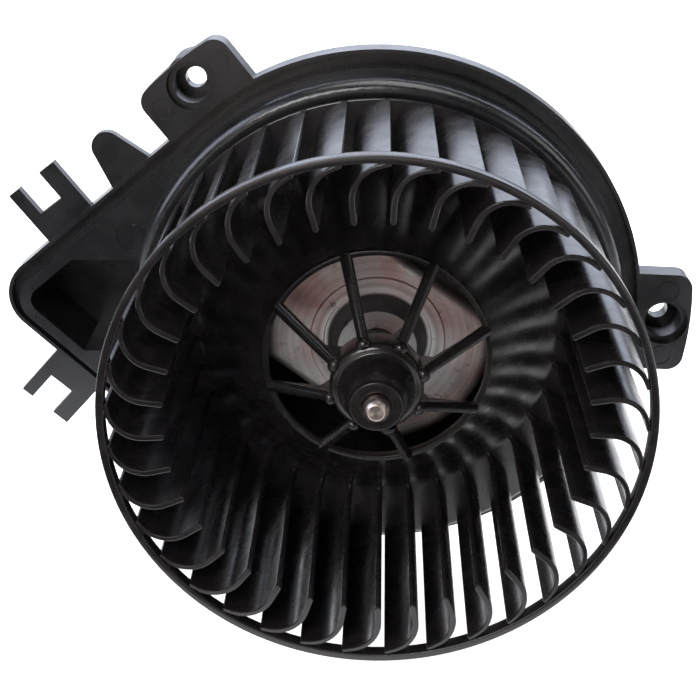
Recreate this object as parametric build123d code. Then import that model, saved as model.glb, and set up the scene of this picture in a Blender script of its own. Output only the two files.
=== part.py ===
from build123d import *
from math import acos, atan2, cos, degrees, radians, sin, sqrt, tan
import os

# Heater blower: an open squirrel-cage wheel on a permanent-magnet motor, carried by a drop-shaped
# flange moulding. Millimetres. The wheel axis is Y. The open mouth of the wheel faces -Y and the
# motor's rear end faces +Y. Angles are counted in the XZ plane from +X towards +Z.
# The origin is on the wheel axis, in the plane of the flange's front rim.

# ---------------------------------------------------------------- clearances
snug = 0.02              # radial gap of pieces that are pressed or bonded together
running = 0.05           # radial gap of the shaft in its bearings
slide_gap = 0.3          # gap between pieces that move past each other
wheel_gap = 1.7          # gap between the wheel's back disc and the flange's lip

# ---------------------------------------------------------------- wheel
wheel_radius = 75.0
wheel_reach = 83.7       # front face of the wheel ahead of the flange rim
ring_wall = 2.1
ring_depth = 4.3
blade_count = 37
blade_first_angle = 95.9
blade_depth = 15.1       # inner edge of a blade to the inside of the ring
blade_bend_radius = 9.0
blade_bend_angle = 85.0
blade_tail = 2.4
blade_thickness = 1.5
blade_sink = 0.35        # end of a blade's middle line inside the ring's inner face
blade_trim = 0.5         # how far a blade reaches into the ring's wall
blade_setback = 0.5      # blade ends behind the ring's front face
disc_flat_gap = 1.3      # inner edges of the blades to the foot of the back disc's slope
disc_thickness = 1.6
dome_middle = (0.51, 0.416)   # place of the slope's middle point, as shares of its run and its rise
window_radius = 32.9
window_lift = 20.9       # all lifts are counted from the disc's flat zone towards the mouth
window_rim_width = 1.3
window_rim_height = 1.1
window_rim_overhang = 0.3
window_rim_foot = 0.6
spoke_count = 8
spoke_first_angle = 16.2
spoke_radius = 1.7
spoke_ball_radius = 2.3
spoke_sink = 1.0         # how far a spoke reaches into the hub
web_thickness = 1.5
web_edge = 2.4           # depth of a web at the window
web_reach = 3.5          # where a web's rear edge turns, outside the hub
hub_radius = 13.5
hub_lift = 41.1
hub_skirt = 8.0
hub_wall = 1.8
hub_core_radius = 6.6
hub_back_lift = 21.8
cone_depth = 4.0         # inside of the cone, at the core
collar_radius = 7.35
collar_lift = 54.1
collar_draft = 0.2
collar_height = 1.4

# ---------------------------------------------------------------- shaft and armature
shaft_radius = 4.0
shaft_reach = 3.8        # shaft's end ahead of the collar's face
shaft_rear = 45.6
shaft_taper = 1.7        # radius that the shaft loses towards its end
shaft_taper_length = 3.6
rear_chamfer = 0.8
core_front = -12.0
core_rear = 16.0
core_radius = 22.2
air_gap = 1.2            # lamination stack to the magnets
tooth_count = 12
tooth_lip = 1.6
tooth_stem = 3.4
core_hub_radius = 9.5
slot_mouth = 2.2
end_turn_depth = 5.0
insulator_thickness = 0.8
commutator_radius = 10.5
commutator_core_radius = 8.6
commutator_front = 22.4
commutator_rear = 34.2
bar_count = 24
bar_slit = 0.6
washer_radius = 6.6
washer_gap = 0.1
slinger_radius = 6.3
slinger_depth = 2.2
slinger_step = 1.1

# ---------------------------------------------------------------- motor case
can_front = -23.7
can_rear = 38.0
flat_gap = 3.3           # lamination stack to the outside of each flat
can_wall = 1.8
can_bend = 3.0
flat_angle = 53.0        # direction that the first flat faces
boss_radius = 15.0
boss_top_radius = 13.2
boss_height = 6.3
boss_round = 1.2
boss_slope_height = 3.2
step_gap = 1.0           # boss to the raised ring on the case's face
step_slope = 0.6
boss_hole_radius = 6.6
face_step_radius = 21.0
face_step = 0.7
cap_thickness = 1.6
cap_boss_height = 6.4
crimp_width = 7.0
crimp_depth = 1.2
crimp_thickness = 1.3
crimp_turn = 20.0        # crimps on each side of a round side's middle
bearing_radius = 8.0
bearing_width = 9.0
retainer_radius = 17.5
retainer_thickness = 0.8
retainer_slots = 6
retainer_slot = (5.0, 1.6)
retainer_slot_gap = 2.2
felt_depth = 4.0
felt_wall = 2.0
felt_overlap = 1.2        # how far the felt reaches past the ball's middle, towards the armature
magnet_front = -14.0
magnet_rear = 20.0
magnet_thickness = 9.78
magnet_half_angle = 41.0
clip_thickness = 0.5
clip_half_width = 14.0
clip_front = -9.0
clip_rear = 15.0

# ---------------------------------------------------------------- brush gear
card_front = 33.2
card_thickness = 1.8
card_hole_gap = 1.7      # commutator to the card
brush_width = 7.0
brush_height = 6.0
brush_length = 12.0
holder_wall = 0.7
holder_start_gap = 2.5   # commutator to the holders
holder_end_gap = 1.6     # holders to the inside of the case
holder_slot_width = 2.2
holder_slot_start = 3.0
holder_slot_end = 4.0
spring_radius = 2.2
spring_wire = 0.35
spring_turns = 5
choke_radius = 1.7
choke_length = 11.0
choke_coil_wall = 0.8
choke_coil_length = 8.0
choke_distances = [15.2, 20.6]
capacitor_radius = 4.0
capacitor_thickness = 2.4
capacitor_angle = 10.0
capacitor_distance = 23.0
terminal_width = 6.3
terminal_thickness = 0.8
terminal_spacing = 10.0
terminal_offset = 19.0
terminal_rear = 62.0
terminal_foot = 1.5      # terminals ahead of the card
terminal_gap = 0.8       # cap to the terminals

# ---------------------------------------------------------------- flange moulding
rim_radius = 84.0
rim_wall = 1.1
rim_depth = 7.8
tip_distance = 106.5
tip_radius = 12.9
tip_angle = 177.8
groove_inset = 4.7       # rim's outside to the deck's edge
groove_floor = 3.3
skin = 2.2
deck_y = -4.2
shoulder_inset = 6.2     # rim's outside to the shoulder
crest_inset = 2.8        # shoulder to the lip's crest
lip_inset = 3.4          # crest to the lip's inner edge
lip_y = -12.9
shoulder_bulge = (1.9, 2.0)   # where the shoulder's curve passes, from the crest
crest_flat = 1.2
lip_edge = (0.2, 1.2)    # depths of the lip's inner edge
lip_taper = 0.4
deck_overlap = 3.0
shoulder_wall = 3.2
well_inset = 5.6         # lip's inner edge to the well
well_floor = -1.0
cup_gap = 4.0            # motor case to the cup around it
cup_wall = 2.2
cup_front = -4.0
cup_rear = 38.4
cup_lip = 2.6
cup_lip_depth = 2.0
overlap = 0.5            # how far joined parts of a moulding run into each other
clear = 1.0              # how far a cut runs past the surface that it opens
pocket_top = 18.2
pocket_bottom = -13.2
pocket_inset = 8.2       # rim's outside to the pocket's end
duct_depth = 21.0
duct_wall = 2.0
duct_inner = 33.0        # axis to the duct's inner end
vent_front = 3.2
vent_rear = 17.5
rib_thickness = 2.0
rib_depth = 9.0
rib_low = 2.0            # depth of a rib at the well's slope
rim_rib_front = 4.3
rim_rib_rear = 7.5
rib_angles = [20, 48, 76, 104, 255, 283, 311, 339]

# ---------------------------------------------------------------- ears, tongue and forks
ear_angles = [128.2, -2.1, -117.0]
ear_length = 16.5        # ear's end outside the rim
ear_root = 6.0
ear_half_width = 16.4
ear_corner = 5.0
ear_thickness = 8.2
ear_setback = 0.4        # ear faces behind the rim
ear_hole_offset = 8.3    # ear hole outside the rim
ear_hole_radius = 3.25
ear_recess_radius = 7.5
ear_recess_depth = 2.6
ear_inner_radius = 5.8
ear_boss_radius = 8.6
ear_boss_rear = 18.0
ear_floor = 5.0
ear_mark_offset = 11.2
ear_mark_radius = 3.4
mark_depth = 0.25
mark_width = 0.5
deck_mark_radius = 4.4
deck_mark_place = (-77.6, 25.8)
tongue_angle = 130.5
tongue_offset = 30.5
tongue_length = 10.8     # centre of the tongue's round end outside the rim
tongue_tip_radius = 4.9
tongue_taper = 15.3
tongue_front = 4.3
tab_thickness = 3.2
fork_front = 2.3
fork_slot_width = 8.6
fork_thin_prong = 4.2
fork_thick_prong = 5.9
upper_fork = dict(angle=127.3, thin_edge=70.4, side=1, tip=15.8, slot_floor=5.5, root=-7.0)
lower_fork = dict(angle=-132.0, thin_edge=68.0, side=-1, tip=18.0, slot_floor=7.5, root=-4.0)

# ---------------------------------------------------------------- mounts, cover and plug
pad_span = 22.0
pad_offset = 26.0
front_pad = (-1.4, 8.6)
rear_pad = (26.0, 36.0)
pad_groove = 1.2
cover_floor = 48.6
cover_thickness = 2.0
cover_skirt_wall = 2.0
cover_skirt_front = 30.0
cover_stop_wall = 2.4
screw_count = 4
screw_boss_gap = 3.3     # cup's outside to the screws' circle
screw_first_angle = 45.0
screw_boss_radius = 4.2
screw_boss_front = 12.0
screw_head_radius = 3.6
screw_seat = 3.0         # screw heads behind the cup's rear edge
screw_slot = (4.0, 0.9)
screw_slot_depth = 1.2
screw_hole_gap = 0.15
head_gap = 0.3
boss_gap = 0.3
cover_gap = 0.2          # cup to the cover's skirt
cover_boss_wall = 1.4
cover_stop_gap = 0.3
cover_ledge = (1.2, 2.0)
pad_gap = 0.1
pad_groove_width = 1.2
screw_head_height = 2.4
screw_radius = 1.75
screw_pilot = 1.77
screw_length = 14.0
socket_width = 22.0
socket_height = 12.0
socket_wall = 1.6
socket_rear = 66.0
socket_floor = 2.0
socket_flange = 1.6
socket_foot = 1.4

# ---------------------------------------------------------------- sizes that follow
disc_back = lip_y - wheel_gap
disc_front = disc_back - disc_thickness
disc_edge = wheel_radius - ring_wall
blade_inner_radius = disc_edge - blade_depth
disc_flat_radius = blade_inner_radius - disc_flat_gap
window_rim_y = disc_front - window_lift
hub_edge_y = disc_front - hub_lift
hub_back = disc_front - hub_back_lift
collar_front = disc_front - collar_lift
shaft_front = collar_front - shaft_reach
magnet_inner_radius = core_radius + air_gap
can_inner = magnet_inner_radius + magnet_thickness + snug
can_radius = can_inner + can_wall
can_flat = core_radius + flat_gap        # axis to each flat
flat_inner = can_flat - can_wall
card_hole_radius = commutator_radius + card_hole_gap
holder_start_radius = commutator_radius + holder_start_gap
holder_end_radius = can_inner - holder_end_gap
felt_radius = bearing_radius + felt_wall
shoulder_radius = rim_radius - shoulder_inset
lip_crest_radius = shoulder_radius - crest_inset
lip_radius = lip_crest_radius - lip_inset
well_radius = lip_radius - well_inset
inner_back = well_floor + skin
duct_rear = inner_back + duct_depth
cup_radius = can_radius + cup_gap
cup_outer = cup_radius + cup_wall
screw_circle = cup_outer + screw_boss_gap
ear_reach = rim_radius + ear_length
ear_hole_distance = rim_radius + ear_hole_offset
round_angle = flat_angle - 90.0          # direction of the motor case's first round side
boss_front = can_front - boss_height
cap_rear = can_rear + cap_thickness
cap_boss_rear = cap_rear + cap_boss_height
seat_offset = sqrt(bearing_radius ** 2 - boss_hole_radius ** 2)
front_bearing_y = boss_front + can_wall + seat_offset + snug
rear_bearing_y = cap_boss_rear - cap_thickness - seat_offset - snug
crimp_angles = [round_angle + side + turn for side in (0, 180) for turn in (-crimp_turn, crimp_turn)]


# ---------------------------------------------------------------- helpers
def facing(y):
    """Sketch plane at a given depth: sketch x is X, sketch y is Z, and its normal is -Y."""
    return Plane(origin=(0, y, 0), x_dir=(1, 0, 0), z_dir=(0, -1, 0))


def slab(shape, front, rear):
    """Flat shape of the XZ plane made solid between two depths."""
    return extrude(facing(rear) * shape, amount=rear - front)


def turned(*corners):
    """Solid of revolution about the wheel axis, from its (radius, y) corners."""
    return revolve(make_face(Polyline(*corners, close=True)), Axis.Y)


def tube(outer, inner, front, rear):
    """Plain ring about the wheel axis."""
    return slab(Circle(outer) - Circle(inner), front, rear)


def spun(shape, angle):
    """Flat shape turned by an angle about the wheel axis."""
    return Rot(0, 0, angle) * shape


def at(angle, radius, shape):
    """Flat shape set at a radius along an angle, turned with that angle."""
    return Rot(0, 0, angle) * Pos(radius, 0) * shape


def bar(low, high):
    """Flat rectangle from its lower and upper corners."""
    middle = Pos((low[0] + high[0]) / 2, (low[1] + high[1]) / 2)
    return middle * Rectangle(high[0] - low[0], high[1] - low[1])


def sector(outer, inner, half_angle):
    """Flat ring sector centred on the x axis, with round inside and outside."""
    reach = outer * 1.5
    across = reach * sin(radians(half_angle))
    along = reach * cos(radians(half_angle))
    wedge = make_face(Polyline((0, 0), (along, across), (along, -across), close=True))
    return (Circle(outer) - Circle(inner)) & wedge


def drop(inset):
    """Outline of the flange, moved inwards: a round body and a round tip joined by their tangents."""
    body = rim_radius - inset
    tip = tip_radius - inset
    lean = degrees(acos((body - tip) / tip_distance))
    across = sin(radians(lean))
    along = cos(radians(lean))
    body_high = (body * along, body * across)
    body_low = (body * along, -body * across)
    tip_high = (tip_distance + tip * along, tip * across)
    tip_low = (tip_distance + tip * along, -tip * across)
    outline = [ThreePointArc(body_high, (-body, 0), body_low), Line(body_low, tip_low),
               ThreePointArc(tip_low, (tip_distance + tip, 0), tip_high), Line(tip_high, body_high)]
    return spun(make_face(outline), tip_angle)


def double_d(radius, flat):
    """Circle with two flats, turned to the motor case's direction."""
    return spun(Circle(radius) & Rectangle(2 * flat, 3 * radius), flat_angle)


def on_rounds(shape):
    """The same flat shape on both round sides of the motor case."""
    return [spun(shape, round_angle), spun(shape, round_angle + 180)]


def save(node, *pieces):
    """Write one node as one STEP file, with each piece as its own solid."""
    solids = []
    for piece in pieces:
        solids.extend(piece.solids())
    export_step(solids[0] if len(solids) == 1 else Compound(children=solids), f"parts/{node}.step")


# ---------------------------------------------------------------- wheel
def blade_outline():
    """Cross-section of one blade: a straight root, a bend towards the turning side and a short tail."""
    half = blade_thickness / 2
    turn = radians(blade_bend_angle)
    along = (cos(turn), -sin(turn))
    fall = blade_bend_radius * (1 - cos(turn)) + blade_tail * sin(turn)
    end_x = sqrt((disc_edge - blade_sink) ** 2 - fall ** 2)
    bend_start = end_x - blade_tail * cos(turn) - blade_bend_radius * sin(turn)
    edges = []
    ends = []
    for side in (half, -half):
        radius = blade_bend_radius + side
        straight = Line((blade_inner_radius, side), (bend_start, side))
        bend = JernArc((bend_start, side), (1, 0), radius, -blade_bend_angle)
        corner = (bend_start + radius * sin(turn), side - radius * (1 - cos(turn)))
        end = (corner[0] + blade_tail * along[0], corner[1] + blade_tail * along[1])
        edges += [straight, bend, Line(corner, end)]
        ends.append(end)
    tip = (blade_inner_radius - half, 0)
    nose = ThreePointArc((blade_inner_radius, half), tip, (blade_inner_radius, -half))
    return make_face(edges + [nose, Line(*ends)])


def dome_curve(depth):
    """Slope of the back disc from the window to the flat zone, at a depth behind its front face."""
    low = (window_radius, window_rim_y + depth)
    high = (disc_flat_radius, disc_front + depth)
    run = high[0] - low[0]
    rise = high[1] - low[1]
    lean = atan2(rise, run)
    middle_x = low[0] + dome_middle[0] * run - depth * sin(lean)
    middle_y = low[1] + dome_middle[1] * rise - depth * (1 - cos(lean))
    return Spline(low, (middle_x, middle_y), high, tangents=[(1, 0.3), (1, 0.15)])


def make_impeller():
    front = -wheel_reach
    profile = [dome_curve(0), Line((disc_flat_radius, disc_front), (disc_edge, disc_front)),
               Line((disc_edge, disc_front), (disc_edge, disc_back)),
               Line((disc_edge, disc_back), (disc_flat_radius, disc_back)), dome_curve(disc_thickness),
               Line((window_radius, window_rim_y + disc_thickness), (window_radius, window_rim_y))]
    wheel = revolve(make_face(profile), Axis.Y)
    wheel += tube(wheel_radius, disc_edge, front, front + ring_depth)
    rim_outer = window_radius + window_rim_width
    rim_inner = window_radius - window_rim_overhang
    rim_back = window_rim_y + disc_thickness + window_rim_foot
    wheel += tube(rim_outer, rim_inner, window_rim_y - window_rim_height, rim_back)
    blade = slab(blade_outline(), front + blade_setback, disc_front + disc_thickness / 2)
    blade &= slab(Circle(disc_edge + blade_trim), front, disc_back)
    for number in range(blade_count):
        angle = blade_first_angle - number * 360 / blade_count
        wheel += Rot(0, -angle, 0) * blade
    return wheel + make_hub()


def spoke_ends():
    """Ends of a spoke's rod on the x axis: inside the hub's edge and in the window's rim."""
    start = Vector(hub_radius - spoke_sink, hub_edge_y + 0.6, 0)
    finish = Vector(window_radius + window_rim_overhang, window_rim_y, 0)
    return start, finish


def make_spoke():
    """Round rod with a thin web behind it and a ball where it leaves the hub."""
    start, finish = spoke_ends()
    path = finish - start
    rod = Solid.make_cylinder(spoke_radius, path.length, Plane(origin=start, z_dir=path))
    root = hub_core_radius - spoke_sink
    skirt_back = hub_edge_y + hub_skirt
    corners = ((root, hub_edge_y - 1), (start.X, start.Y), (finish.X, finish.Y),
               (finish.X, finish.Y + web_edge), (hub_radius + web_reach, skirt_back + 1.5),
               (root, hub_back + 1))
    web = extrude(make_face(Polyline(*corners, close=True)), amount=web_thickness / 2, both=True)
    ball = Pos(hub_radius + 0.2, hub_edge_y + 0.2, 0) * Sphere(spoke_ball_radius)
    return rod + web + ball


def make_hub():
    skirt_back = hub_edge_y + hub_skirt
    skirt_inner = hub_radius - hub_wall
    hub = turned((0, collar_front), (collar_radius, collar_front),
                 (collar_radius + collar_draft, collar_front + collar_height),
                 (hub_radius - 1.4, hub_edge_y - 2.4), (hub_radius - 0.3, hub_edge_y - 1.0),
                 (hub_radius, hub_edge_y), (hub_radius, skirt_back), (skirt_inner, skirt_back),
                 (skirt_inner, hub_edge_y),
                 (hub_core_radius, hub_edge_y - cone_depth), (hub_core_radius, hub_back), (0, hub_back))
    spoke = make_spoke()
    for number in range(spoke_count):
        angle = spoke_first_angle + number * 360 / spoke_count
        hub += Rot(0, -angle, 0) * spoke
    return hub - slab(Circle(shaft_radius + snug), collar_front - clear, hub_back + clear)


# ---------------------------------------------------------------- rotor of the motor
def make_shaft():
    return turned((0, shaft_front), (shaft_radius - shaft_taper, shaft_front),
                  (shaft_radius, shaft_front + shaft_taper_length), (shaft_radius, shaft_rear - rear_chamfer),
                  (shaft_radius - rear_chamfer, shaft_rear), (0, shaft_rear))


def core_section():
    """Lamination: teeth with wide lips around a solid hub."""
    section = Circle(core_radius) - Circle(core_radius - tooth_lip)
    section += Circle(core_hub_radius)
    stem = bar((core_hub_radius - 1, -tooth_stem / 2), (core_radius - tooth_lip / 2, tooth_stem / 2))
    for number in range(tooth_count):
        section += spun(stem, number * 360 / tooth_count)
    for number in range(tooth_count):
        mouth = bar((core_radius - 2 * tooth_lip, -slot_mouth / 2), (core_radius + 1, slot_mouth / 2))
        section -= spun(mouth, (number + 0.5) * 360 / tooth_count)
    return section - Circle(shaft_radius + snug)


def make_armature_core():
    return slab(core_section(), core_front, core_rear)


def make_slot_insulators():
    """End plates of the lamination stack, the same outline as the teeth."""
    section = core_section() & Circle(core_radius - tooth_lip)
    front = slab(section, core_front - insulator_thickness, core_front)
    return [front, slab(section, core_rear, core_rear + insulator_thickness)]


def make_winding():
    """Copper in the slots, joined by the bundles of turns at both ends."""
    inner = core_hub_radius + snug
    outer = core_radius - tooth_lip - snug
    front = core_front - insulator_thickness
    rear = core_rear + insulator_thickness
    filled = Circle(outer) - Circle(inner)
    tooth = bar((0, -tooth_stem / 2 - snug), (outer + 1, tooth_stem / 2 + snug))
    for number in range(tooth_count):
        filled -= spun(tooth, number * 360 / tooth_count)
    winding = slab(filled, front, rear)
    for foot, crest in ((front, front - end_turn_depth), (rear, rear + end_turn_depth)):
        middle = (foot + crest) / 2
        winding += turned((inner, foot), (inner, middle), (inner + 2, crest), (outer - 3, crest),
                          (outer, middle), (outer, foot))
    return winding


def make_commutator_core():
    return tube(commutator_core_radius, shaft_radius + snug, commutator_front, commutator_rear)


def make_commutator_bars():
    half = 180 / bar_count - degrees(bar_slit / 2 / commutator_radius)
    bars = []
    for number in range(bar_count):
        piece = sector(commutator_radius, commutator_core_radius + snug, half)
        bars.append(slab(spun(piece, number * 360 / bar_count), commutator_front, commutator_rear))
    return bars


def make_thrust_washer(front, rear):
    return tube(washer_radius, shaft_radius + snug, front, rear)


def make_oil_slinger():
    """Stepped rubber ring on the shaft, just ahead of the motor's nose."""
    rear = boss_front - slide_gap
    middle = rear - slinger_depth / 2
    front = rear - slinger_depth
    inner = shaft_radius + snug
    neck = slinger_radius - slinger_step
    return turned((inner, front), (neck, front), (neck, middle), (slinger_radius, middle),
                  (slinger_radius, rear), (inner, rear))


# ---------------------------------------------------------------- motor case
def nose(face, direction, hole):
    """Bearing boss on a case end: a stepped dome that grows from a flat face, with its wall's inside cut."""
    top = face + direction * (boss_height if direction < 0 else cap_boss_height)
    wall = can_wall if direction < 0 else cap_thickness
    slope = face + direction * boss_slope_height
    root = face - direction * wall / 2
    outside = turned((0, root), (boss_radius, root), (boss_radius, face), (boss_top_radius, slope),
                     (boss_top_radius - boss_round, top), (0, top))
    under = face - direction * wall
    roof = top - direction * wall
    cut = turned((0, under - direction), (boss_radius - wall, under - direction), (boss_radius - wall, face),
                 (boss_top_radius - wall, slope), (boss_top_radius - boss_round - wall, roof), (0, roof))
    return outside, cut + slab(Circle(hole), min(face, top) - clear, max(face, top) + clear)


def make_motor_can():
    can = slab(double_d(can_radius, can_flat), can_front, can_rear)
    front_edges = can.faces().sort_by(Axis.Y)[0].edges()
    can = fillet(front_edges, can_bend)
    can -= slab(double_d(can_inner, flat_inner), can_front + can_wall, can_rear + clear)
    boss, boss_cut = nose(can_front, -1, boss_hole_radius)
    step_inner = boss_radius + step_gap
    step_front = can_front - face_step
    step = turned((step_inner, can_front + overlap), (face_step_radius, can_front + overlap),
                  (face_step_radius - step_slope, step_front), (step_inner + step_slope, step_front))
    can = can + boss + step - boss_cut
    half = crimp_width / 2
    crimp = bar((can_radius - crimp_thickness, -half), (can_radius + 1, half)) & Circle(can_radius - snug)
    for angle in crimp_angles:
        can += slab(spun(crimp, angle), can_rear - overlap, cap_rear + crimp_depth)
    return can


def make_end_cap():
    cap = slab(double_d(can_radius - 0.1, can_flat - 0.1), can_rear, cap_rear)
    boss, boss_cut = nose(cap_rear, 1, boss_hole_radius)
    cap = cap + boss - boss_cut
    half = crimp_width / 2 + 0.2
    notch = bar((can_radius - crimp_thickness - 0.2, -half), (can_radius + 1, half))
    for angle in crimp_angles:
        cap -= slab(spun(notch, angle), can_rear - clear, cap_rear + clear)
    for terminal in terminal_sections(terminal_gap):
        cap -= slab(terminal, can_rear - clear, cap_rear + clear)
    return cap


def make_magnets():
    outside = can_inner - snug
    section = sector(outside, magnet_inner_radius, magnet_half_angle)
    return [slab(piece, magnet_front, magnet_rear) for piece in on_rounds(section)]


def make_magnet_clips():
    """Leaf springs on the case's flats, with ends folded against the magnets."""
    outside = flat_inner - snug
    inside = outside - clip_thickness
    leaf = bar((inside, -clip_half_width), (outside, clip_half_width))
    clips = []
    for angle in (flat_angle, flat_angle + 180):
        clips.append(slab(spun(leaf, angle), clip_front, clip_rear))
    return clips


def make_bearing(centre):
    ball = Pos(0, centre, 0) * Sphere(bearing_radius)
    half = bearing_width / 2
    ball &= slab(Circle(bearing_radius + 1), centre - half, centre + half)
    return ball - slab(Circle(shaft_radius + running), centre - bearing_width, centre + bearing_width)


def make_retainer(face, direction, centre):
    """Star washer that lies inside a case end and holds the bearing's ball."""
    seat = sqrt(bearing_radius ** 2 - (face - centre) ** 2) + snug
    low, high = sorted((face, face + direction * retainer_thickness))
    washer = Circle(retainer_radius) - Circle(seat)
    for number in range(retainer_slots):
        washer -= at(number * 360 / retainer_slots, seat + retainer_slot_gap, Rectangle(*retainer_slot))
    return slab(washer, low, high)


def make_felt(front):
    return tube(felt_radius, bearing_radius + snug, front, front + felt_depth)


# ---------------------------------------------------------------- brush gear
def terminal_sections(margin):
    """Both terminal blades in section, grown by a margin."""
    blade = Rectangle(terminal_thickness + 2 * margin, terminal_width + 2 * margin)
    places = [Pos(terminal_offset, side * terminal_spacing / 2) for side in (-1, 1)]
    return [spun(place * blade, flat_angle + 180) for place in places]


def holder_depths():
    """Front and rear of the brush holders, which stand on the front of the card."""
    return card_front - brush_height - 2 * holder_wall, card_front


def make_brush_card():
    card = double_d(can_inner - 0.2, flat_inner - 0.2) - Circle(card_hole_radius)
    for terminal in terminal_sections(snug):
        card -= terminal
    return slab(card, card_front, card_front + card_thickness)


def make_brush_holders():
    front, rear = holder_depths()
    half = brush_width / 2 + slide_gap / 2
    shell = bar((holder_start_radius, -half - holder_wall), (holder_end_radius, half + holder_wall))
    hole = bar((holder_start_radius - 1, -half), (holder_end_radius - holder_wall, half))
    slot = bar((holder_start_radius + holder_slot_start, -holder_slot_width / 2),
               (holder_end_radius - holder_slot_end, holder_slot_width / 2))
    holders = []
    for angle in (round_angle, round_angle + 180):
        box = slab(spun(shell, angle), front, rear)
        box -= slab(spun(hole, angle), front + holder_wall, rear - holder_wall)
        holders.append(box - slab(spun(slot, angle), front - clear, front + 1.1 * holder_wall))
    return holders


def make_brushes():
    front, rear = holder_depths()
    middle = (front + rear) / 2
    half = brush_height / 2 - slide_gap / 2
    start = commutator_radius + slide_gap
    section = bar((start - 2, -brush_width / 2), (start + brush_length, brush_width / 2)) - Circle(start)
    return [slab(piece, middle - half, middle + half) for piece in on_rounds(section)]


def make_brush_springs():
    front, rear = holder_depths()
    middle = (front + rear) / 2
    start = commutator_radius + slide_gap + brush_length + spring_wire + snug
    length = holder_end_radius - holder_wall - snug - spring_wire - start
    coil_path = Helix(length / spring_turns, length, spring_radius)
    section = Plane(origin=coil_path @ 0, z_dir=coil_path % 0) * Circle(spring_wire)
    coil = sweep(section, path=coil_path)
    springs = []
    for angle in (round_angle, round_angle + 180):
        springs.append(Rot(0, -angle, 0) * Pos(start, middle, 0) * Rot(0, 90, 0) * coil)
    return springs


def make_chokes():
    """Ferrite rods with copper coils, side by side on the front of the brush card."""
    cores = []
    coils = []
    centre = card_front - choke_radius - choke_coil_wall
    for distance in choke_distances:
        seat = Rot(0, -flat_angle, 0) * Pos(distance, centre, 0)
        cores.append(seat * Cylinder(choke_radius, choke_length))
        coil = Cylinder(choke_radius + choke_coil_wall, choke_coil_length)
        coils.append(seat * (coil - Cylinder(choke_radius + snug, choke_length)))
    return cores, coils


def make_capacitor():
    place = Rot(0, -capacitor_angle, 0) * Pos(capacitor_distance, card_front - capacitor_thickness / 2, 0)
    return place * Rot(90, 0, 0) * Cylinder(capacitor_radius, capacitor_thickness)


def make_terminals():
    blades = []
    for section in terminal_sections(0):
        blades.append(slab(section, card_front - terminal_foot, terminal_rear))
    return blades


# ---------------------------------------------------------------- flange moulding
def fork(angle, thin_edge, side, tip, slot_floor, root):
    """Two-pronged tab. The thin prong is the one further from the wheel. Lengths count from the rim."""
    thick_edge = thin_edge - fork_thin_prong - fork_slot_width - fork_thick_prong
    slot_high = thin_edge - fork_thin_prong
    slot_low = slot_high - fork_slot_width
    low, high = sorted((side * thick_edge, side * thin_edge))
    tab = bar((rim_radius + root, low), (rim_radius + tip, high))
    cut_low, cut_high = sorted((side * slot_low, side * slot_high))
    tab -= bar((rim_radius + slot_floor, cut_low), (rim_radius + tip + clear, cut_high))
    return slab(spun(tab, angle), fork_front, fork_front + tab_thickness)


def tongue():
    """Tapered locating tab with a round end."""
    lean = radians(tongue_taper)
    foot = rim_radius - overlap
    tip = rim_radius + tongue_length
    reach = tip - foot
    shoulder = (tip + tongue_tip_radius * sin(lean), tongue_tip_radius * cos(lean))
    base = tongue_tip_radius / cos(lean) + reach * tan(lean)
    other = (shoulder[0], -shoulder[1])
    blade = make_face(Polyline((foot, base), shoulder, other, (foot, -base), close=True))
    blade += Pos(tip, 0) * Circle(tongue_tip_radius)
    return slab(spun(Pos(0, tongue_offset) * blade, tongue_angle), tongue_front, tongue_front + tab_thickness)


def ear_plate():
    plate = bar((rim_radius - ear_root, -ear_half_width), (2 * ear_reach, ear_half_width)) & Circle(ear_reach)
    outer = plate.vertices().sort_by(Axis.X)[-2:]
    return fillet(outer, ear_corner)


def make_ear(angle):
    plate = slab(spun(ear_plate(), angle), ear_setback, ear_thickness)
    boss = slab(at(angle, ear_hole_distance, Circle(ear_boss_radius)), ear_thickness / 2, ear_boss_rear)
    return plate + boss


def mould_mark(place, radius, face, angle=0):
    """Shallow ring that an ejector pin leaves on a face."""
    ring = Circle(radius) - Circle(radius - mark_width)
    return slab(spun(Pos(*place) * ring, angle), face - clear, face + mark_depth)


def ear_cuts(angle):
    """Stepped screw hole of an ear and its two ejector marks."""
    steps = ((ear_recess_radius, ear_setback + ear_recess_depth),
             (ear_inner_radius, ear_boss_rear - ear_floor), (ear_hole_radius, ear_boss_rear + clear))
    cuts = [slab(at(angle, ear_hole_distance, Circle(radius)), -clear, depth) for radius, depth in steps]
    for side in (-1, 1):
        place = (ear_hole_distance, side * ear_mark_offset)
        cuts.append(mould_mark(place, ear_mark_radius, ear_setback, angle))
    return cuts


def duct_section(inset):
    """Cooling duct in the XZ plane: the pocket's outline, from the drop's tip to the motor cup."""
    low = (-2 * tip_distance, pocket_bottom - duct_wall + inset)
    strip = bar(low, (-duct_inner, pocket_top + duct_wall - inset))
    return strip & drop(pocket_inset - duct_wall + inset)


def make_shoulder():
    """Turned part of the housing: the rounded shoulder, the lip, the well's slope and its floor."""
    crest = lip_crest_radius - crest_flat
    bulge = (lip_crest_radius + shoulder_bulge[0], lip_y + shoulder_bulge[1])
    outside = Spline((shoulder_radius, deck_y), bulge, (crest, lip_y), tangents=[(-0.15, -1), (-1, 0)])
    corners = [(crest, lip_y), (lip_radius, lip_y + lip_edge[0]),
               (lip_radius - lip_taper, lip_y + lip_edge[1]), (well_radius, well_floor),
               (cup_radius, well_floor), (cup_radius, inner_back),
               (well_radius + skin, inner_back), (shoulder_radius - shoulder_wall, deck_y),
               (shoulder_radius - clear, deck_y + skin), (shoulder_radius, deck_y + skin),
               (shoulder_radius, deck_y)]
    return revolve(make_face([outside, Polyline(*corners)]), Axis.Y)


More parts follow.
